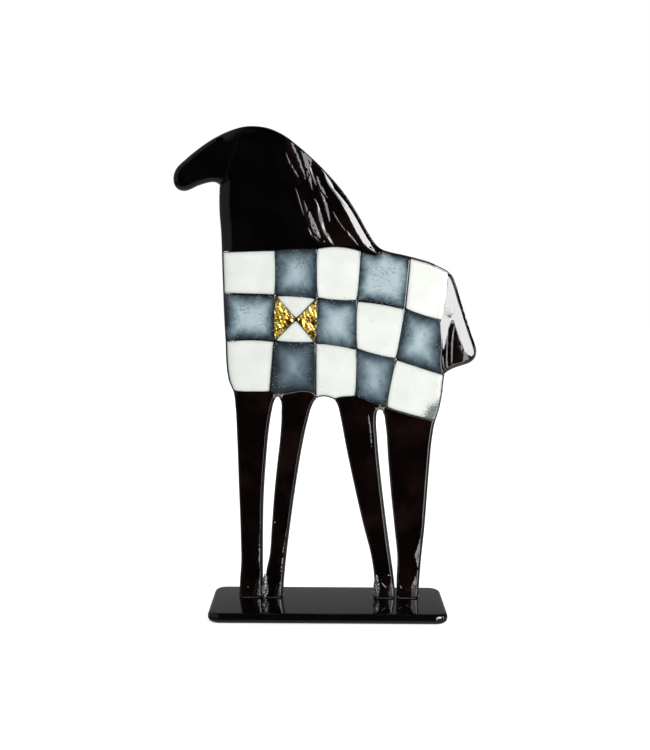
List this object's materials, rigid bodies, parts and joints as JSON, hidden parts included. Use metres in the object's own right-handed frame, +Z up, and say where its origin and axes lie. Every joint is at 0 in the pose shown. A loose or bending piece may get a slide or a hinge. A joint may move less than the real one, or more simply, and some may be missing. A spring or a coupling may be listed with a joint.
{
  "type": "glass horse figurine",
  "caption": "Flat kiln-formed glass horse with a chequered opal blanket, a gold-leaf inset and a raised mane and tail, glued upright on a glass base plate.",
  "frame": {"origin": "centre of the base plate's underside, on the surface it stands on", "axes": "+X from the muzzle towards the tail, +Y towards the back of the figure, +Z up"},
  "size_m": [0.1925, 0.06, 0.3077],
  "materials": {
    "black_glass": "fire-polished, satin on the figure's back",
    "white_opal_glass": "fire-polished opal",
    "grey_opal_glass": "fire-polished streaky opal with seed bubbles",
    "gold_leaf": "crinkled leaf under clear glass",
    "clear_adhesive": "clear, bubbly"
  },
  "bodies": {
    "root": {"adhesive_bead_fore": "clear_adhesive", "adhesive_bead_hind": "clear_adhesive", "base_plate": "black_glass", "body_back": "black_glass", "foreleg_leading_back": "black_glass", "foreleg_leading_front": "black_glass", "foreleg_trailing_back": "black_glass", "foreleg_trailing_front": "black_glass", "head_back": "black_glass", "head_front": "black_glass", "hindleg_leading_back": "black_glass", "hindleg_leading_front": "black_glass", "hindleg_trailing_back": "black_glass", "hindleg_trailing_front": "black_glass", "inset_gold_left": "gold_leaf", "inset_gold_right": "gold_leaf", "inset_white_bottom": "white_opal_glass", "inset_white_top": "white_opal_glass", "mane_strand_1": "black_glass", "mane_strand_2": "black_glass", "mane_strand_3": "black_glass", "mane_strand_4": "black_glass", "mane_strand_5": "black_glass", "mane_strand_6": "black_glass", "neck_front": "black_glass", "tail_back": "black_glass", "tail_front": "black_glass", "tail_strand_1": "black_glass", "tail_strand_2": "black_glass", "tail_strand_3": "black_glass", "tail_strand_4": "black_glass", "tile_grey_row1_col2": "grey_opal_glass", "tile_grey_row1_col4": "grey_opal_glass", "tile_grey_row2_col1": "grey_opal_glass", "tile_grey_row2_col3": "grey_opal_glass", "tile_grey_row2_col5": "grey_opal_glass", "tile_grey_row3_col2": "grey_opal_glass", "tile_grey_row3_col4": "grey_opal_glass", "tile_white_row1_col1": "white_opal_glass", "tile_white_row1_col3": "white_opal_glass", "tile_white_row1_col5": "white_opal_glass", "tile_white_row2_col4": "white_opal_glass", "tile_white_row3_col1": "white_opal_glass", "tile_white_row3_col3": "white_opal_glass", "tile_white_row3_col5": "white_opal_glass"}
  },
  "joints": []
}
